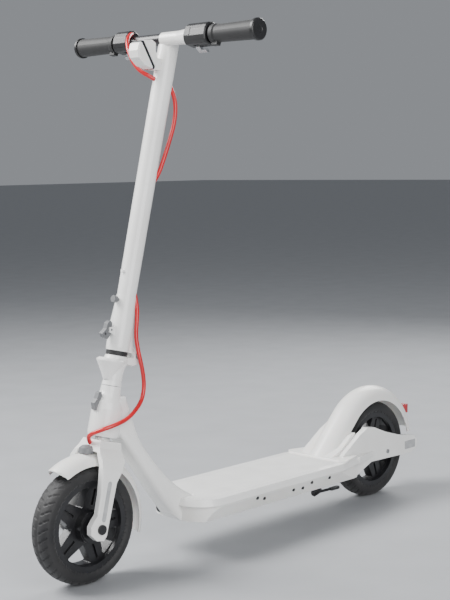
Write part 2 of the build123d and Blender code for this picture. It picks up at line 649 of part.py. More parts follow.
def steerer_tube():
    """Steel tube pressed into the crown and into the fold base."""
    low, high = ARCH_S + 4, BASE_TOP - 12
    return STEER * turned([(STEERER_R - 3, low), (STEERER_R, low), (STEERER_R, high), (STEERER_R - 3, high)])


def front_fender():
    """Front fender: a short nose and a long tail behind the fork."""
    nose, tail = 44.0, 182.0
    hood = arc_swept(fender_section(FRONT_FENDER_R, FENDER_HALF), nose, tail - nose)
    tip, side = FRONT_FENDER_R * cos(radians(nose)), FENDER_EDGE_R * cos(radians(nose + 6))
    half = FENDER_HALF + 1
    corner = [(side, half), (side + 0.55 * (tip - side), 0.72 * half), (tip - 1, 0.35 * half)]
    plan = corner + [(x, -y) for x, y in reversed(corner)] + [(-2 * WHEEL_R, -half), (-2 * WHEEL_R, half)]
    hood = hood & flat_plate(plan, -WHEEL_R, 2 * WHEEL_R)
    return STEER * Pos(FORK_OFFSET, 0, 0) * hood


def fender_mount():
    """Grey cap that bolts the fender under the crown's front."""
    cap = turned([(0, FRONT_FENDER_R - 4), (15, FRONT_FENDER_R - 4), (14, FRONT_FENDER_R + 6),
                  (9, FRONT_FENDER_R + 11), (0, FRONT_FENDER_R + 13)])
    cap = Pos(33, 0, 0) * cap
    cap -= Pos(FORK_OFFSET, 0, 0) * wheel_turned([(0, -40), (FRONT_FENDER_R + 0.2, -40),
                                                 (FRONT_FENDER_R + 0.2, 40), (0, 40)])
    return STEER * cap


def fold_base():
    """Collar on the steerer: waisted neck, latch lip in front, hinge ears behind."""
    low = HEAD_TOP + 1.0
    neck = turned([(0, low), (18.5, low), (17.2, low + 9), (17.6, low + 22), (19.5, low + 34),
                   (22.0, low + 42), (22.3, low + 49), (20.5, BASE_TOP), (0, BASE_TOP)])
    lip_ahead, lip_r = 11.0, 27.0
    lip = turned([(0, low + 10), (9, low + 10), (14, low + 20), (20, low + 31), (lip_r, low + 43),
                  (lip_r, low + 46), (lip_r - 4, low + 49), (0, low + 49)])
    lip = Pos(lip_ahead, 0, 0) * lip
    base = neck + lip
    ears = [(-14, 300), (-30, 299), (-44, 306), (-47, 316), (-44, 325), (-36, 327), (-29, 322),
            (-27, BASE_TOP), (-14, BASE_TOP)]
    for sign in SIDES:
        y0, y1 = sorted((sign * (KNUCKLE_HALF + PART_GAP), sign * (KNUCKLE_HALF + 9)))
        base += side_plate(ears, y0, y1, 2.0)
    base += side_plate([(-14, 298), (-34, 298), (-34, 304), (-14, BASE_TOP - 1)], -KNUCKLE_HALF - 2,
                       KNUCKLE_HALF + 2)
    base -= bar(HINGE_PIN_R, (-HINGE_BACK, -30, HINGE_S), (-HINGE_BACK, 30, HINGE_S))
    base -= bar(STEERER_R, (0, 0, low - 1), (0, 0, BASE_TOP - 12))
    return STEER * base


KNUCKLE_HALF = 8.5           # half width of the stem foot's hinge knuckle


def fold_hinge_pin():
    """Fold hinge pin with a head at each end."""
    half = KNUCKLE_HALF + 9
    pin = bar(HINGE_PIN_R, (-HINGE_BACK, -half, HINGE_S), (-HINGE_BACK, half, HINGE_S))
    for sign in SIDES:
        pin += bar(6.0, (-HINGE_BACK, sign * half, HINGE_S), (-HINGE_BACK, sign * (half + 2), HINGE_S))
    return STEER * pin


# ---- stem ---------------------------------------------------------------------------------
def stem_radius(s):
    """Outer radius of the tapered stem tube at a height along the axis."""
    share = (s - FOOT_BOTTOM) / (BAR_S - FOOT_BOTTOM)
    return STEM_R_LOW + (STEM_R_TOP - STEM_R_LOW) * share


TEE_LEFT = 66.0              # white sleeve on the handlebar, to the left and to the right
TEE_RIGHT = 2.0
TEE_R = 12.8


def stem_tube():
    """Tapered stem tube with a welded sleeve for the handlebar and a cap on top."""
    low, high = FOOT_BOTTOM + 30, BAR_S + 6
    tube = turned([(0, low), (stem_radius(low), low), (stem_radius(high - 4), high - 4),
                   (stem_radius(high) - 4, high + 3), (0, high + 3)])
    sleeve = Pos(BAR_FORWARD, 0, BAR_S) * bar(TEE_R, (0, -TEE_RIGHT, 0), (0, TEE_LEFT, 0))
    flare = Pos(BAR_FORWARD, 0, BAR_S) * wheel_turned([
        (0, TEE_LEFT - 24), (TEE_R, TEE_LEFT - 24), (TEE_R + 2.5, TEE_LEFT), (0, TEE_LEFT)])
    nub = bar(3.0, (12, 0, 468), (stem_radius(468) + 4, 0, 468))
    body = tube + sleeve + flare + nub
    shoulder = BAR_S - 38
    hollow = turned([(0, low - 1), (stem_radius(low) - STEM_WALL, low - 1),
                     (stem_radius(shoulder) - STEM_WALL, shoulder - 4), (0, shoulder - 4)])
    body -= hollow
    slant = Polyline((-60, shoulder), (-STEM_R_TOP - 0.5, shoulder), (-TEE_RIGHT, BAR_S + 10),
                     (-TEE_RIGHT, BAR_S + 40), (-60, BAR_S + 40), close=True)
    body -= extrude(Plane.YZ.offset(-40) * make_face(slant), amount=100)
    body -= Pos(BAR_FORWARD, 0, BAR_S) * bar(BAR_R, (0, -TEE_RIGHT - 60, 0), (0, TEE_LEFT + 9, 0))
    return STEER * body


def stem_foot():
    """Cast foot of the stem: it clamps the tube and carries the hinge knuckle and the latch ears."""
    foot = turned([(0, FOOT_BOTTOM), (21, FOOT_BOTTOM), (22, FOOT_BOTTOM + 6), (22, FOOT_BOTTOM + 50),
                   (19.5, FOOT_TOP - 20), (18.3, FOOT_TOP), (0, FOOT_TOP)])
    spine = [(-10, FOOT_BOTTOM), (-26, FOOT_BOTTOM), (-30, HINGE_S + 9), (-27, HINGE_S + 30),
             (-21, HINGE_S + 60), (-10, HINGE_S + 60)]
    foot += side_plate(spine, -KNUCKLE_HALF, KNUCKLE_HALF)
    knuckle = bar(7.6, (-HINGE_BACK, -KNUCKLE_HALF, HINGE_S), (-HINGE_BACK, KNUCKLE_HALF, HINGE_S))
    bridge = side_plate([(-HINGE_BACK, HINGE_S + 1), (-HINGE_BACK - 2, HINGE_S + 7.4), (-28, HINGE_S + 18),
                         (-20, HINGE_S + 18), (-20, FOOT_BOTTOM), (-26, FOOT_BOTTOM)],
                        -KNUCKLE_HALF, KNUCKLE_HALF)
    foot += knuckle + bridge
    ear = [(14, LATCH_S - 14), (LATCH_F - 4, LATCH_S - 7), (LATCH_F + 4, LATCH_S - 5),
           (LATCH_F + 5, LATCH_S + 4), (LATCH_F - 2, LATCH_S + 6), (14, LATCH_S + 12)]
    for sign in SIDES:
        y0, y1 = sorted((sign * (LATCH_HALF + PART_GAP), sign * (LATCH_HALF + 3.5)))
        foot += side_plate(ear, y0, y1, 1.2)
    low = FOOT_BOTTOM + 30
    foot -= turned([(0, low), (stem_radius(low), low), (stem_radius(FOOT_TOP + 1), FOOT_TOP + 1),
                    (0, FOOT_TOP + 1)])
    foot -= turned([(0, FOOT_BOTTOM - 1), (13, FOOT_BOTTOM - 1), (13, low + 1), (0, low + 1)])
    foot -= bar(HINGE_PIN_R + RUN_GAP, (-HINGE_BACK, -20, HINGE_S), (-HINGE_BACK, 20, HINGE_S))
    foot -= bar(LATCH_PIN_R, (LATCH_F, -20, LATCH_S), (LATCH_F, 20, LATCH_S))
    return STEER * foot


def fold_gasket():
    """Black ring under the stem foot."""
    low = BASE_TOP + PART_GAP
    return STEER * turned([(13, low), (20, low), (20, FOOT_BOTTOM), (13, FOOT_BOTTOM)])


LATCH_S = 357.0              # latch pin, along the steering axis
LATCH_F = 29.0               # latch pin, ahead of the steering axis
LATCH_HALF = 5.0
LATCH_PIN_R = 2.0


def fold_latch():
    """Fold latch: a lever with a rounded head above its pin and a pointed thumb piece in front."""
    lever = [(LATCH_F - 3, LATCH_S + 4), (LATCH_F - 1, LATCH_S + 14), (LATCH_F + 4, LATCH_S + 16),
             (LATCH_F + 9, LATCH_S + 11), (LATCH_F + 10, LATCH_S), (LATCH_F + 18, LATCH_S - 10),
             (LATCH_F + 11, LATCH_S - 16), (LATCH_F + 3, LATCH_S - 18), (LATCH_F - 4, LATCH_S - 6)]
    body = side_plate(lever, -LATCH_HALF, LATCH_HALF, 1.5)
    body -= bar(LATCH_PIN_R + RUN_GAP, (LATCH_F, -9, LATCH_S), (LATCH_F, 9, LATCH_S))
    hole = bar(2.2, (LATCH_F + 10, -9, LATCH_S - 9), (LATCH_F + 10, 9, LATCH_S - 9))
    return STEER * (body - hole)


def hook_stud():
    """Round-headed stud on the front of the stem foot."""
    s, r = 414.0, 19.0
    stud = bar(3.5, (r - 4, 0, s), (r + 9, 0, s))
    head = bar(6.3, (r + 4.5, 0, s), (r + 12.5, 0, s))
    return STEER * (stud + head)


def handlebar():
    """Straight handlebar tube."""
    half = BAR_HALF - 6
    tube = bar(BAR_R, (0, -half, 0), (0, half, 0)) - bar(BAR_R - 2.2, (0, -half - 1, 0), (0, half + 1, 0))
    return STEER * Pos(BAR_FORWARD, 0, BAR_S) * tube


GRIP_START = {1: 131.0, -1: 131.0}       # inner end of each grip, left and right
POD_SPAN = {1: (70.0, 125.0), -1: (86.0, 125.0)}


def grips():
    """The two rubber grips, each with a lock screw lug under its inner end."""
    shapes = []
    for sign in SIDES:
        start, end = GRIP_START[sign], BAR_HALF - 7
        points = [(BAR_R, start), (GRIP_R + 1.2, start), (GRIP_R + 1.2, start + 8), (GRIP_R - 0.6, start + 11),
                  (GRIP_R + 0.8, end - 4), (GRIP_R + 0.8, end), (BAR_R, end)]
        grip = wheel_turned([(r, sign * y) for r, y in points])
        grip += block(-5, 5, *sorted((sign * (start + 1), sign * (start + 15))), -GRIP_R - 5, -GRIP_R + 3)
        grip -= bar(BAR_R, (0, sign * (start - 1), 0), (0, sign * (end + 1), 0))
        shapes.append(STEER * Pos(BAR_FORWARD, 0, BAR_S) * grip)
    return Compound(children=shapes)


def bar_end_caps():
    """Flanged plugs in both ends of the handlebar."""
    caps = []
    for sign in SIDES:
        tip, seat = BAR_HALF, BAR_HALF - 7
        cap = wheel_turned([(r, sign * y) for r, y in (
            (0, seat + 1), (BAR_R, seat + 1), (BAR_R, seat), (GRIP_FLANGE_R, seat), (GRIP_FLANGE_R, tip - 2),
            (GRIP_FLANGE_R - 2, tip), (7, tip), (6, tip - 1), (0, tip - 1))])
        plug = bar(BAR_R - 2.3, (0, sign * (seat - 20), 0), (0, sign * (seat + 2), 0))
        caps.append(STEER * Pos(BAR_FORWARD, 0, BAR_S) * (cap + plug))
    return Compound(children=caps)


def pod_shell(sign):
    """Control pod clamped round the handlebar, beside the grip."""
    y0, y1 = (sign * v for v in POD_SPAN[sign])
    outline_points = [(-17, -12), (-11, -19), (11, -19), (17, -14), (20, -6), (20, 6), (17, 14), (11, 20),
                      (1, 23), (-9, 20), (-17, 11)]
    pod = side_plate(outline_points, min(y0, y1), max(y0, y1), 3.5)
    ends = [e for e in pod.edges() if abs(e.center().Y - y0) < 0.1 or abs(e.center().Y - y1) < 0.1]
    pod = chamfer(ends, 2.2)
    grip_side = sign * GRIP_START[sign]
    pod += bar(BAR_R + 2.5, (0, y1 - sign * 2, 0), (0, grip_side, 0))
    return pod - bar(BAR_R, (0, -BAR_HALF, 0), (0, BAR_HALF, 0))


PADDLE_PIVOT = (-6.0, -15.5)     # lever pivots in a pod, forwards and up from the bar's centre
PADDLE_PIN_R = 1.6
PADDLE_HALF = 5.0


def paddle_place(sign):
    """Middle of the slot that a thumb lever works in."""
    y0, y1 = POD_SPAN[sign]
    return sign * (y0 + 0.36 * (y1 - y0))


def thumb_lever(sign):
    """Thumb paddle: an eye on its pin, and a curved blade that hangs behind and below the bar."""
    f, s = PADDLE_PIVOT
    y = paddle_place(sign)
    blade = [(f - 4, s + 3), (f + 4, s + 2), (f + 3, s - 5), (f - 2, s - 9), (f - 9, s - 12),
             (f - 13, s - 11), (f - 12, s - 8), (f - 7, s - 6)]
    lever = side_plate(blade, y - PADDLE_HALF, y + PADDLE_HALF, 1.0)
    pad = side_plate([(f - 2, s - 9), (f - 9, s - 12), (f - 13, s - 11), (f - 12, s - 8), (f - 7, s - 6)],
                     min(y, y + sign * 16), max(y, y + sign * 16), 1.0)
    lever += pad
    lever -= bar(PADDLE_PIN_R + RUN_GAP, (f, y - 20, s), (f, y + 20, s))
    return STEER * Pos(BAR_FORWARD, 0, BAR_S) * lever


def paddle_room(sign):
    """Slot in a pod for its thumb lever over the lever's travel."""
    f, s = PADDLE_PIVOT
    y = paddle_place(sign)
    half = PADDLE_HALF + PART_GAP
    return side_plate([(f - 12, s + 5.5), (f + 8, s + 5.5), (f + 12, s - 12), (f - 16, s - 12)], y - half, y + half)


def lever_pin(sign):
    f, s = PADDLE_PIVOT
    y = paddle_place(sign)
    reach = PADDLE_HALF + 5
    return Pos(BAR_FORWARD, 0, BAR_S) * bar(PADDLE_PIN_R, (f, y - reach, s), (f, y + reach, s))


def lever_pins():
    """Pins of the two thumb levers and of the fold latch."""
    latch = bar(LATCH_PIN_R, (LATCH_F, -LATCH_HALF - 3.5, LATCH_S), (LATCH_F, LATCH_HALF + 3.5, LATCH_S))
    return STEER * Compound(children=[lever_pin(1), lever_pin(-1), latch])


BUTTON = (7.0, 6.0, 3.0)         # mode button: half height, half width, travel
BUTTON_Y = 80.0                  # middle of the mode button on the left pod
BUTTON_UP = 2.0                  # above the bar's centre


def left_pod():
    """Left control pod, with the throttle lever's slot and the mode button's well."""
    pod = pod_shell(1) - paddle_room(1)
    a, b, deep = BUTTON
    well = block(19.5 - deep - 3.5, 30, BUTTON_Y - b - PART_GAP, BUTTON_Y + b + PART_GAP,
                 BUTTON_UP - a - PART_GAP, BUTTON_UP + a + PART_GAP)
    placed = STEER * Pos(BAR_FORWARD, 0, BAR_S) * (pod - well)
    return placed - STEER * lever_pin(1)


def mode_button():
    """Mode button in the front of the left pod; it presses straight in."""
    a, b, deep = BUTTON
    cap = block(19.5 - deep, 20.5, BUTTON_Y - b, BUTTON_Y + b, BUTTON_UP - a, BUTTON_UP + a)
    cap = fillet(cap.edges().filter_by(Axis.X), 2.0)
    return STEER * Pos(BAR_FORWARD, 0, BAR_S) * cap


def right_pod():
    """Right control pod, with the brake lever's slot and the cable's socket."""
    pod = pod_shell(-1) - paddle_room(-1)
    placed = STEER * Pos(BAR_FORWARD, 0, BAR_S) * pod
    return placed - STEER * lever_pin(-1)


LAMP_S = BAR_S - 909.7           # the lamp's heights were drawn for a bar at 909.7


LAMP_HALF = 14.5                 # half width of the headlight
LAMP_NECK_HALF = 8.5             # half width of its neck on the stem


def lamp_body():
    """Whole outline of the headlight on the front of the stem."""
    s = LAMP_S
    points = [(10, 850 + s), (36, 844 + s), (60, 845 + s), (78, 854 + s), (84, 866 + s), (83, 880 + s),
              (74, 888 + s), (54, 895 + s), (43, 892 + s), (40, 878 + s), (30, 868 + s), (10, 870 + s)]
    body = side_plate(points, -LAMP_HALF, LAMP_HALF, 3.0)
    rim_edges = [e for e in body.edges() if abs(abs(e.center().Y) - LAMP_HALF) < 0.01]
    body = chamfer(rim_edges, 2.5)
    for sign in SIDES:
        beside = sorted((sign * LAMP_NECK_HALF, sign * (LAMP_HALF + 1)))
        body -= block(0, 37, *beside, 800 + s, 900 + s)
    clear = turned([(0, 800 + s), (stem_radius(800 + s) + 0.2, 800 + s),
                    (stem_radius(900 + s) + 0.2, 900 + s), (0, 900 + s)])
    return body - clear


def lamp_cut(offset, thick):
    """Slanted band across the headlight, from its front top to its rear bottom."""
    s = LAMP_S
    band = Pos(60, 0, 868 + s) * Rot(0, -45, 0) * Box(160, 60, thick)
    return band.moved(Location((offset * sin(radians(45)), 0, -offset * sin(radians(45)))))


def headlight_shells():
    """Back shell and front chin of the headlight, either side of the lens."""
    body = lamp_body()
    back = body - lamp_cut(50 - 3, 100)
    chin = body - lamp_cut(-50 + 3, 100)
    return STEER * Compound(children=[back.solids().sort_by(SortBy.VOLUME)[-1],
                                      chin.solids().sort_by(SortBy.VOLUME)[-1]])


def headlight_lens():
    """Dark wrap-round lens between the two shells, set in a little."""
    body = lamp_body() & lamp_cut(0, 6.0)
    return STEER * (body & block(37, 82, -LAMP_HALF + 1, LAMP_HALF - 1, 800 + LAMP_S, 900 + LAMP_S))


# ---- cable --------------------------------------------------------------------------------
# Routes in the steering frame, as (forwards, left, along the axis).
CABLE_TOP = [(18.0, -89.0, 926.0), (32.0, -80.0, 918.0), (45.0, -68.0, 900.0), (48.0, -55.0, 880.0),
             (45.0, -40.0, 858.0), (38.0, -22.0, 841.0), (26.0, -6.0, 834.0), (12.0, -1.0, 830.0)]
CABLE_STEM = [(-11.0, 6.0, 832.0), (-25.0, 8.0, 816.0), (-36.5, 8.5, 792.0), (-39.0, 8.5, 760.0),
              (-33.5, 8.5, 722.0), (-27.0, 8.0, 684.0), (-20.5, 7.5, 655.0), (-10.0, 6.0, 636.0)]
CABLE_LOWER = [(-9.0, 8.5, 436.0), (-17.0, 15.0, 410.0), (-20.0, 17.5, 382.0), (-22.0, 19.5, 353.0),
               (-29.5, 24.0, 328.0), (-39.0, 28.5, 304.0), (-48.0, 31.0, 281.0), (-53.0, 32.0, 259.0),
               (-48.0, 35.5, 237.0), (-31.0, 41.0, 217.0), (-9.0, 46.0, 200.0), (17.0, 45.0, 187.0),
               (36.0, 33.0, 175.0), (42.0, 14.0, 165.0), (36.0, 1.0, 156.0), (25.0, -2.0, 148.0)]


def cable(name, points):
    """A round cable along straight runs joined by tangent arcs."""
    spots = [Vector(*p) for p in points]
    radii = []
    for a, b, c in zip(spots, spots[1:], spots[2:]):
        turn = radians((b - a).get_angle(c - b))
        radii.append(0.45 * min((b - a).length, (c - b).length) / tan(turn / 2))
    path = FilletPolyline(*points, radius=radii)
    print(name, "bend radii", [round(r) for r in radii], "length", round(path.length, 1))
    section = Plane(origin=path @ 0, z_dir=path % 0) * Circle(CABLE_R)
    tube = sweep(section, path=path)
    print(name, "volume against section by length", round(tube.volume / (pi * CABLE_R ** 2 * path.length), 4))
    return STEER * tube


# ---- the whole scooter --------------------------------------------------------------------
def build():
    neck = frame_neck()
    crown = fork()
    stud = hook_stud()
    top = cable("cable_top", CABLE_TOP)
    loop = cable("cable_stem", CABLE_STEM)
    lower = cable("cable_lower", CABLE_LOWER)
    front_hub = Pos(FORK_OFFSET, 0, 0)
    pieces = {
        "frame_neck": neck,
        "headset_bearings": headset_bearings(),
        "front_hook": STEER * front_hook() - neck,
        "deck_plate": deck_plate(neck),
        "deck_mat": deck_mat(neck),
        "deck_shell": deck_shell(neck),
        "deck_screws": deck_screws(),
        "battery_pack": battery_pack(),
        "motor_controller": motor_controller(),
        "charge_socket": charge_socket(),
        "charge_cap": charge_cap(),
        "rear_arms": rear_arms(),
        "rear_reflectors": rear_reflectors(),
        "rear_axle": at_rear_axle(axle(ARM_OUTER - 3)),
        "rear_axle_bolts": at_rear_axle(rear_axle_bolts()),
        "rear_fender": rear_fender(),
        "tail_light": tail_light(),
        "brake_plate": at_rear_axle(brake_plate()),
        "kickstand_bracket": kickstand_bracket(),
        "kickstand_pin": kickstand_pin(),
        "kickstand": kickstand(),
        "motor_magnets": at_front_axle(motor_magnets()),
        "motor_stator": at_front_axle(motor_stator()),
        "front_axle": STEER * front_hub * axle(FORK_OUTER),
        "front_axle_caps": STEER * front_hub * axle_ends(FORK_OUTER, 9.0, 4.0),
        "fork": crown - lower,
        "fork_reflectors": fork_reflectors(),
        "steerer_tube": steerer_tube(),
        "front_fender": front_fender(),
        "fender_mount": fender_mount() - crown,
        "fold_base": fold_base(),
        "fold_hinge_pin": fold_hinge_pin(),
        "stem_tube": stem_tube() - stud - top - loop - lower,
        "stem_foot": stem_foot() - stud - lower,
        "fold_gasket": fold_gasket(),
        "fold_latch": fold_latch(),
        "hook_stud": stud,
        "lever_pins": lever_pins(),
        "handlebar": handlebar(),
        "grips": grips(),
        "bar_end_caps": bar_end_caps(),
        "left_pod": left_pod(),
        "right_pod": right_pod() - top,
        "mode_button": mode_button(),
        "throttle_lever": thumb_lever(1),
        "brake_lever": thumb_lever(-1),
        "headlight_shells": headlight_shells(),
        "headlight_lens": headlight_lens(),
        "cable_top": top,
        "cable_stem": loop,
        "cable_lower": lower,
    }
    for end, place in (("front", at_front_axle), ("rear", at_rear_axle)):
        pieces[end + "_tyre"] = place(tyre())
        pieces[end + "_rim"] = place(rim())
        pieces[end + "_hub_cover"] = place(hub_cover())
        pieces[end + "_bearings"] = place(wheel_bearings())
    return pieces


if __name__ == "__main__":
    os.makedirs("parts", exist_ok=True)
    for name, piece in build().items():
        export_step(piece, "parts/" + name + ".step")
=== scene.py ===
# %% [markdown]
# # Electric kick scooter
# The measured solids of the scooter come in as a fixed frame, in metres: +X forwards, +Y to the
# rider's left, +Z up. Nothing in that frame is moved. Each cell below adds a finish, a lamp or a
# finer piece in the place that the frame gives.

# %% Load the measured frame
import json
from math import cos, pi, radians, sin

import bpy
from mathutils import Euler, Matrix, Vector


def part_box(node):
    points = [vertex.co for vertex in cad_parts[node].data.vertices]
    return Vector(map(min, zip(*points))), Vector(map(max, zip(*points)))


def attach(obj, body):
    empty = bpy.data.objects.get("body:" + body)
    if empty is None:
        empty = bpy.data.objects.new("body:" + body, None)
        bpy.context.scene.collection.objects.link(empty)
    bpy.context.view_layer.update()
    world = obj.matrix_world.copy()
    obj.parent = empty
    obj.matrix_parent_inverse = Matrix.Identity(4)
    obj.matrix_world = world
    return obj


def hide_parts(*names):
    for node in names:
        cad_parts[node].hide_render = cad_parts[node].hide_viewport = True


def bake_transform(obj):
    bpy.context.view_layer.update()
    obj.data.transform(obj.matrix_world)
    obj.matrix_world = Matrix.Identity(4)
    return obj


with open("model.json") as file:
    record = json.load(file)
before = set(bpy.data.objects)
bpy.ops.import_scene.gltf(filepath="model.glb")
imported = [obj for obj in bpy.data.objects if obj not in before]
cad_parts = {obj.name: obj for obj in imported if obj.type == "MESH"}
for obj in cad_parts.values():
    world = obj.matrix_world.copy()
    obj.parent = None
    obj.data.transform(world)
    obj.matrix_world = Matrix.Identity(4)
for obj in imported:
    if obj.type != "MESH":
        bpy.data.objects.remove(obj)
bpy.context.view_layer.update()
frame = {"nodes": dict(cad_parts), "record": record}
mm = 0.001

# %% [markdown]
# Colours are picked as sRGB hex values, because that is how paint and plastic samples are read on
# a screen. The shader works in linear light, so one function converts them. A second function adds
# a node with its settings and its links, and it is the only one that builds node trees.

# %% Colours and nodes
def linear(hex_value):
    """An sRGB hex value as the linear colour that a shader takes."""
    channels = [int(hex_value[i:i + 2], 16) / 255 for i in (1, 3, 5)]
    return [c / 12.92 if c <= 0.04045 else ((c + 0.055) / 1.055) ** 2.4 for c in channels] + [1.0]


def node(tree, kind, inputs=None, **settings):
    """Adds one node. Settings are its properties; inputs are plain values, or sockets to link."""
    new = tree.nodes.new("ShaderNode" + kind)
    for name, value in settings.items():
        setattr(new, name, value)
    for name, value in (inputs or {}).items():
        if isinstance(value, bpy.types.NodeSocket):
            tree.links.new(value, new.inputs[name])
        else:
            new.inputs[name].default_value = value
    return new


def ramp(tree, factor, *stops):
    """A colour ramp from (position, colour) stops, driven by a factor socket."""
    new = node(tree, "ValToRGB", {"Fac": factor})
    elements = new.color_ramp.elements
    while len(elements) < len(stops):
        elements.new(0.5)
    for element, (position, colour) in zip(elements, stops):
        element.position = position
        element.color = colour
    return new.outputs["Color"]


print("white paint in linear light:", [round(c, 3) for c in linear("#f4f4f2")[:3]])

# %% [markdown]
# Almost every finish here has the same bones: a fine grain that breaks up the highlight, a broad
# cloud that keeps a large panel from looking printed, and a small bump. One function lays these
# bones down from real sizes in millimetres, and each material then adds what is its own. No real
# edge is sharp, so the same function rounds every edge by half a millimetre in the shading.

# %% The bones of a finish
EDGE_MM = 0.5


def finish(name, base, worn, roughness, grain_mm, relief_mm, cloud_mm=120.0, spread=0.06, **shader):
    """A material whose colour drifts from base to worn, with grain and relief in millimetres."""
    material = bpy.data.materials.new(name)
    material.use_nodes = True
    tree = material.node_tree
    tree.nodes.clear()
    place = node(tree, "TexCoord").outputs["Object"]
    grain = node(tree, "TexNoise", {"Vector": place, "Scale": 1 / (grain_mm * mm), "Detail": 2.0})
    cloud = node(tree, "TexNoise", {"Vector": place, "Scale": 1 / (cloud_mm * mm), "Detail": 5.0})
    colour = ramp(tree, cloud.outputs["Fac"], (0.35, linear(base)), (0.75, linear(worn)))
    rough = node(tree, "MapRange", {"Value": grain.outputs["Fac"], "To Min": roughness - spread,
                                    "To Max": roughness + spread})
    edge = node(tree, "Bevel", {"Radius": EDGE_MM * mm}, samples=4)
    bump = node(tree, "Bump", {"Height": grain.outputs["Fac"], "Distance": relief_mm * mm, "Strength": 0.6,
                               "Normal": edge.outputs["Normal"]})
    principled = node(tree, "BsdfPrincipled", {"Base Color": colour, "Roughness": rough.outputs["Result"],
                                               "Normal": bump.outputs["Normal"], **shader})
    node(tree, "OutputMaterial", {"Surface": principled.outputs["BSDF"]})
    return material, tree, bump


def relief(tree, bump, height, depth_mm):
    """Adds a second, coarser relief under a finish's own grain."""
    under = node(tree, "Bump", {"Height": height, "Distance": depth_mm * mm, "Strength": 1.0})
    tree.links.new(bump.inputs["Normal"].links[0].from_socket, under.inputs["Normal"])
    tree.links.new(under.outputs["Normal"], bump.inputs["Normal"])


materials = {}

# %% [markdown]
# Powder coat is baked polyester on blasted aluminium. It is thick and glossy, with the faint
# "orange peel" of the melted grains, about 2 mm across and a few hundredths deep.

# %% White powder coat on the frame, fork and stem
coat = finish("white_powder_coat_on_aluminium", "#f6f6f4", "#ecebe8", 0.26, 2.2, 0.03,
              **{"IOR": 1.5, "Coat Weight": 0.35, "Coat Roughness": 0.12})
materials["white_paint"] = coat[0]
print("powder coat:", coat[0].name)

# %% [markdown]
# The fenders and the tray are ABS from polished moulds: smoother than paint, a little warmer, and
# very slightly translucent, so shadows on them stay soft.

# %% White ABS on the fenders, tray and lamp
moulded = finish("white_gloss_moulded_abs", "#f5f4f1", "#eceae5", 0.3, 1.4, 0.015,
                 **{"IOR": 1.54, "Subsurface Weight": 0.05, "Subsurface Scale": 0.002})
materials["white_plastic"] = moulded[0]
print("moulded ABS:", moulded[0].name)

# %% [markdown]
# The mat is moulded rubber with rows of small raised pads. The pads are about 6 mm apart, and a
# pattern of even cells gives them without drawing each one.

# %% Pale grey rubber on the deck mat
mat, tree, bump = finish("pale_grey_moulded_rubber_mat", "#dcdcda", "#cfcfcc", 0.62, 0.9, 0.05,
                                     cloud_mm=60.0, **{"IOR": 1.52})
pads = node(tree, "TexVoronoi", {"Vector": node(tree, "TexCoord").outputs["Object"],
                                 "Scale": 1 / (6 * mm), "Randomness": 0.0})
pad_height = ramp(tree, pads.outputs["Distance"], (0.25, (1, 1, 1, 1)), (0.42, (0, 0, 0, 1)))
relief(tree, bump, pad_height, 0.5)
materials["mat_rubber"] = mat
print("deck mat pads are 6 mm apart")

# %% [markdown]
# Black parts differ more in sheen than in colour. The pods are spark-eroded ABS, the grips are soft
# TPR with a fine texture, the tyres are vulcanised rubber that has picked up dust, and the wheels
# are cast aluminium under satin black paint.

# %% Black plastic, grip rubber, tyre rubber and the wheels' paint
materials["black_plastic"] = finish("black_spark_eroded_abs", "#171718", "#1f1f21", 0.42, 0.8, 0.04,
                                    cloud_mm=40.0, **{"IOR": 1.54})[0]
materials["black_rubber"] = finish("black_thermoplastic_grip_rubber", "#161617", "#232324", 0.6, 1.1, 0.08,
                                   cloud_mm=30.0, **{"IOR": 1.52, "Sheen Weight": 0.08})[0]
materials["tyre_rubber"] = finish("vulcanised_tyre_rubber", "#1a1a1c", "#2b2a2a", 0.66, 1.2, 0.1,
                                  cloud_mm=45.0, **{"IOR": 1.52, "Sheen Weight": 0.1})[0]
materials["wheel_paint"] = finish("satin_black_cast_aluminium", "#161618", "#222225", 0.36, 1.0, 0.05,
                                  cloud_mm=50.0,
                                  **{"IOR": 1.5, "Coat Weight": 0.25, "Coat Roughness": 0.25})[0]
print("black finishes: 4")

# %% [markdown]
# Turned steel shows fine rings from the tool, and bead-blasted aluminium shows none: it scatters
# light evenly and looks soft. Both keep the metal's own colour, with no paint over it.

# %% Bare metals
steel, tree, bump = finish("turned_zinc_plated_steel", "#a6a7a9", "#8b8c8e", 0.3, 0.6, 0.02,
                                       cloud_mm=15.0, **{"Metallic": 1.0})
rings = node(tree, "TexWave", {"Vector": node(tree, "TexCoord").outputs["Object"],
                               "Scale": 1 / (1.2 * mm), "Distortion": 0.4},
             wave_type="BANDS", bands_direction="Y")
relief(tree, bump, rings.outputs["Fac"], 0.03)
materials["steel"] = steel
materials["alloy"] = finish("bead_blasted_aluminium", "#c3c4c6", "#adaeb0", 0.46, 0.5, 0.03, cloud_mm=25.0,
                            **{"Metallic": 1.0})[0]
materials["copper"] = finish("enamelled_copper_winding", "#b8703f", "#8f4f28", 0.35, 0.8, 0.1, cloud_mm=10.0,
                             **{"Metallic": 1.0})[0]
print("metals: 3")

# %% [markdown]
# The brake cable's jacket is extruded PVC: one even red with a soft shine. The tail light is red
# polycarbonate with a diffusing pattern behind it, and the reflectors hold tiny corner prisms.

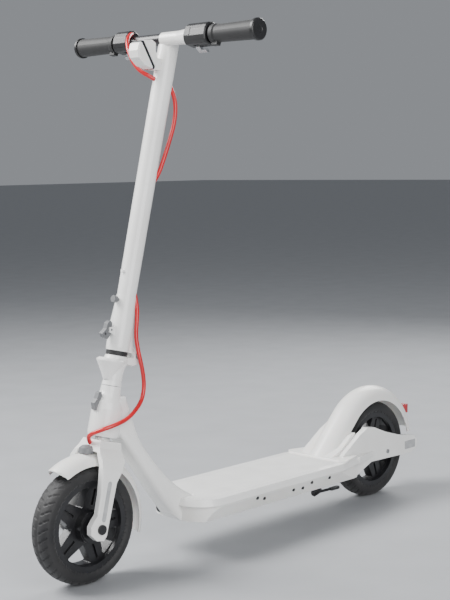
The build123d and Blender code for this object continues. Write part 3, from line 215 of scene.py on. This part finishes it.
# %% Red jacket, lenses, reflectors and small grey parts
PRISM_MM, PRISM_DEEP_MM = 2.5, 0.4
materials["red_cable"] = finish("red_extruded_pvc_jacket", "#d3131f", "#b80d18", 0.34, 1.5, 0.02,
                                cloud_mm=30.0, **{"IOR": 1.53, "Coat Weight": 0.2, "Coat Roughness": 0.2})[0]
LENSES = {
    "red_lens": ("red_polycarbonate_diffuser", "#c4212b", "#9f141d", 0.18, 12.0,
                 {"IOR": 1.585, "Coat Weight": 0.5, "Coat Roughness": 0.06}),
    "reflector": ("grey_prism_reflector_acrylic", "#b9babb", "#a3a4a6", 0.22, 15.0,
                  {"IOR": 1.49, "Coat Weight": 0.6, "Coat Roughness": 0.08}),
}
for slot, (name, base, worn, roughness, cloud_mm, shader) in LENSES.items():
    lens, tree, bump = finish(name, base, worn, roughness, 1.0, 0.02, cloud_mm=cloud_mm, **shader)
    prisms = node(tree, "TexVoronoi", {"Vector": node(tree, "TexCoord").outputs["Object"],
                                       "Scale": 1 / (PRISM_MM * mm),
                                       "Randomness": 0.0}, distance="MANHATTAN")
    relief(tree, bump, prisms.outputs["Distance"], PRISM_DEEP_MM)
    materials[slot] = lens
materials["dark_lens"] = finish("smoked_polycarbonate", "#23272c", "#15181c", 0.1, 1.0, 0.005, cloud_mm=30.0,
                                **{"IOR": 1.585, "Coat Weight": 0.8, "Coat Roughness": 0.04})[0]
materials["grey_plastic"] = finish("grey_moulded_nylon", "#77787a", "#6a6b6d", 0.45, 0.8, 0.04, cloud_mm=25.0,
                                   **{"IOR": 1.53})[0]
materials["battery_wrap"] = finish("blue_shrink_wrap_pvc", "#2f5d9b", "#264c82", 0.3, 2.0, 0.1, cloud_mm=30.0,
                                   **{"IOR": 1.53})[0]
print("materials ready:", len(materials))

# %% [markdown]
# The record says which slot each solid takes its finish from, so one loop paints the whole frame.

# %% Paint every solid
slot_of = {part["node"]: part["material_slot"] for part in frame["record"]["subparts"]}
for name, solid in frame["nodes"].items():
    material = materials[slot_of[name]]
    if not solid.material_slots:
        solid.data.materials.append(material)
    for slot in solid.material_slots:
        slot.material = material
print("painted:", len(slot_of))

# %% [markdown]
# ## Tyres
# The solids have plain round tyres. A real scooter tyre has a rounded tread with curved grooves on
# both shoulders, a groove round its middle and a smooth side wall. The tread is drawn by lowering
# the points of one fine ring wherever a groove's path crosses it.

# %% Treaded tyres
WHEEL_R, RIM_R, TYRE_HALF = 108.0, 84.0, 23.5
STEPS, PITCHES, GROOVE_DEEP = 720, 40, 1.9
WALL_HIGH = 9.0                    # plain side wall outside the rim's lip
BEAD_HALF = 20.0                   # half width at the lip
MIDDLE_GROOVE = 0.05               # shares of the tread's half width, from its middle
SHOULDER = (0.16, 0.9)
SHOULDER_GAP = (0.5, 0.56)
GROOVE_HALF, GROOVE_RAMP = 0.13, 0.05      # shares of one pitch
GROOVE_SWEEP, SIDE_SHIFT = 0.95, 0.25


def tyre_profile():
    """(sideways, radius) points in millimetres, over the tread from one bead to the other."""
    bulge = TYRE_HALF - BEAD_HALF
    wall = [(BEAD_HALF + bulge * sin(pi / 2 * k / 5), RIM_R + WALL_HIGH * k / 5) for k in range(6)]
    count = 34
    tread = []
    for k in range(1, count):
        turn = pi * k / count
        y = TYRE_HALF * (1 if cos(turn) > 0 else -1) * abs(cos(turn)) ** 0.8
        tread.append((y, RIM_R + WALL_HIGH + (WHEEL_R - RIM_R - WALL_HIGH) * sin(turn) ** 0.8))
    return wall + tread + [(-y, r) for y, r in reversed(wall)]


def groove_at(turn, y):
    """How much of the groove's depth lies at this place on the tread, from 0 to 1."""
    side = 1 if y > 0 else -1
    reach = abs(y) / TYRE_HALF
    if SHOULDER[0] < reach < SHOULDER[1]:
        shifted = turn * PITCHES / (2 * pi) + SIDE_SHIFT * side - GROOVE_SWEEP * reach ** 1.4
        across = abs((shifted % 1.0) - 0.5)
        if across < GROOVE_HALF and not SHOULDER_GAP[0] < reach < SHOULDER_GAP[1]:
            return min(1.0, (GROOVE_HALF - across) / GROOVE_RAMP)
    return 1.0 if reach < MIDDLE_GROOVE else 0.0


def tyre(name, centre, body, replaced):
    """One treaded tyre, built as rings of points, that rides on its wheel."""
    profile = tyre_profile()
    points = []
    for step in range(STEPS):
        turn = 2 * pi * step / STEPS
        for y, r in profile:
            deep = r - GROOVE_DEEP * groove_at(turn, y)
            points.append(((deep * cos(turn)) * mm + centre[0], y * mm, (deep * sin(turn)) * mm + centre[2]))
    across = len(profile)
    faces = []
    for step in range(STEPS):
        here, there = step * across, (step + 1) % STEPS * across
        for k in range(across - 1):
            faces.append((here + k, there + k, there + k + 1, here + k + 1))
        faces.append((here + across - 1, there + across - 1, there, here))
    mesh = bpy.data.meshes.new(name)
    mesh.from_pydata(points, [], faces)
    mesh.update()
    piece = bpy.data.objects.new(name, mesh)
    bpy.context.collection.objects.link(piece)
    for polygon in mesh.polygons:
        polygon.use_smooth = True
    mesh.materials.append(materials["tyre_rubber"])
    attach(piece, body)
    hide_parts(replaced)
    return piece


def middle(name):
    """The middle of a solid's box."""
    low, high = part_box(name)
    return [(a + b) / 2 for a, b in zip(low, high)]


for end in ("front", "rear"):
    piece = tyre(end + "_treaded_tyre", middle(end + "_rim"), end + "_wheel", end + "_tyre")
    print(piece.name, "points:", len(piece.data.vertices))

# %% [markdown]
# ## Cables
# A brake cable keeps one smooth curve between its two holes. A NURBS spline over the route's
# points gives that curve, and its round bevel gives the jacket. The lower cable crosses the fold
# hinge, so it is turned into a mesh.

# %% Cable routes
RAKE = radians(14.5)
FORK_OFFSET = 10.0
CABLE_R = 3.9
axle = [c / mm for c in middle("front_rim")]
foot_x = axle[0] - FORK_OFFSET * cos(RAKE)
foot_z = axle[2] - FORK_OFFSET * sin(RAKE)


def steered(forward, left, along):
    """A point given along and across the steering axis, in millimetres, as metres in the frame."""
    x = foot_x - along * sin(RAKE) + forward * cos(RAKE)
    z = foot_z + along * cos(RAKE) + forward * sin(RAKE)
    return Vector((x * mm, left * mm, z * mm))


CABLE_TOP = [(18.0, -89.0, 926.0), (32.0, -80.0, 918.0), (45.0, -68.0, 900.0), (48.0, -55.0, 880.0),
             (45.0, -40.0, 858.0), (38.0, -22.0, 841.0), (26.0, -6.0, 834.0), (12.0, -1.0, 830.0)]
CABLE_STEM = [(-11.0, 6.0, 832.0), (-25.0, 8.0, 816.0), (-36.5, 8.5, 792.0), (-39.0, 8.5, 760.0),
              (-33.5, 8.5, 722.0), (-27.0, 8.0, 684.0), (-20.5, 7.5, 655.0), (-10.0, 6.0, 636.0)]
CABLE_LOWER = [(-9.0, 8.5, 436.0), (-17.0, 15.0, 410.0), (-20.0, 17.5, 382.0), (-22.0, 19.5, 353.0),
               (-29.5, 24.0, 328.0), (-39.0, 28.5, 304.0), (-48.0, 31.0, 281.0), (-53.0, 32.0, 259.0),
               (-48.0, 35.5, 237.0), (-31.0, 41.0, 217.0), (-9.0, 46.0, 200.0), (17.0, 45.0, 187.0),
               (36.0, 33.0, 175.0), (42.0, 14.0, 165.0), (36.0, 1.0, 156.0), (25.0, -2.0, 148.0)]


def cable(name, route):
    """A round cable on one smooth spline over the route's points."""
    curve = bpy.data.curves.new(name, "CURVE")
    curve.dimensions = "3D"
    curve.bevel_depth = CABLE_R * mm
    curve.bevel_resolution = 5
    spline = curve.splines.new("NURBS")
    spline.points.add(len(route) - 1)
    for point, place in zip(spline.points, route):
        point.co = (*steered(*place), 1.0)
    spline.order_u = 3
    spline.use_endpoint_u = True
    spline.resolution_u = 12
    curve.materials.append(materials["red_cable"])
    piece = bpy.data.objects.new(name, curve)
    bpy.context.collection.objects.link(piece)
    return piece


# %% [markdown]
# Two of the cables touch only the stem, so they ride on it as they are.

# %% The two cables that stay on the stem
ON_STEM = (("upper_cable", CABLE_TOP, "cable_top"), ("stem_cable_loop", CABLE_STEM, "cable_stem"))
for name, route, solid in ON_STEM:
    piece = cable(name, route)
    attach(piece, "stem")
    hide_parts(solid)
    print(name, "points:", len(route))

# %% [markdown]
# The third runs from the stem past the fold to the fork. It is drawn the same way and then
# turned into one mesh.

# %% The cable that crosses the fold
drawn = cable("lower_cable_curve", CABLE_LOWER)
bpy.context.view_layer.update()
bending_mesh = bpy.data.meshes.new_from_object(drawn.evaluated_get(bpy.context.evaluated_depsgraph_get()))
bpy.data.objects.remove(drawn)
lower_cable = bpy.data.objects.new("lower_cable", bending_mesh)
bpy.context.collection.objects.link(lower_cable)
for polygon in bending_mesh.polygons:
    polygon.use_smooth = True
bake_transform(lower_cable)
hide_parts("cable_lower")
print("bending cable points:", len(bending_mesh.vertices))

# %% [markdown]
# ## Studio
# The scooter stands on a plain pale paper floor, under one broad key light, a weaker fill and a
# light behind, so that the white body has a shaded side and a clear outline.

# %% Floor, lights and world
def paper_floor():
    """A wide, flat, pale paper floor under the scooter."""
    floor = bpy.data.meshes.new("studio_floor")
    half = 40.0
    corners = [(-half, -half, 0), (half, -half, 0), (half, half, 0), (-half, half, 0)]
    floor.from_pydata(corners, [], [(0, 1, 2, 3)])
    piece = bpy.data.objects.new("studio_floor", floor)
    bpy.context.collection.objects.link(piece)
    floor.materials.append(finish("pale_studio_paper", "#a4a6a9", "#9ea0a3", 0.7, 3.0, 0.02)[0])
    return piece


paper_floor()


def area_light(name, place, target, size, power, hex_value="#ffffff"):
    """A square soft light that looks at a point."""
    lamp = bpy.data.lights.new(name, "AREA")
    lamp.size = size
    lamp.energy = power
    lamp.color = linear(hex_value)[:3]
    piece = bpy.data.objects.new(name, lamp)
    piece.location = place
    piece.rotation_euler = (Vector(target) - Vector(place)).to_track_quat("-Z", "Y").to_euler()
    bpy.context.collection.objects.link(piece)


area_light("key", (1.6, -1.6, 2.6), (0, 0, 0.4), 1.8, 210)
area_light("fill", (1.4, 2.8, 1.5), (0, 0, 0.5), 2.4, 105)
area_light("back", (-2.4, -0.8, 2.0), (0, 0, 0.5), 1.4, 60)
world = bpy.data.worlds.new("studio")
world.use_nodes = True
world.node_tree.nodes["Background"].inputs["Color"].default_value = linear("#c9cdd3")
world.node_tree.nodes["Background"].inputs["Strength"].default_value = 0.45
bpy.context.scene.world = world
print("lights: 3")

# %% [markdown]
# The camera stands 0.76 m above the floor and about 2.6 m away, at the scooter's front left, with a
# 77 mm lens: long enough that the near wheel isn't swollen.

# %% Camera
camera = bpy.data.objects.new("camera", bpy.data.cameras.new("camera"))
camera.data.lens = 77.4
camera.data.sensor_width = 36.0
heading, pitch, roll = radians(-135.96), radians(-6.06), radians(-0.81)
facing = Euler((pi / 2 + pitch, 0, heading - pi / 2)).to_matrix().to_4x4() @ Matrix.Rotation(roll, 4, "Z")
camera.matrix_world = Matrix.Translation((1.9007, 1.7799, 0.7579)) @ facing
bpy.context.collection.objects.link(camera)
bpy.context.scene.camera = camera
print("camera distance:", round((camera.matrix_world.translation - Vector((0, 0, 0.4))).length, 2))
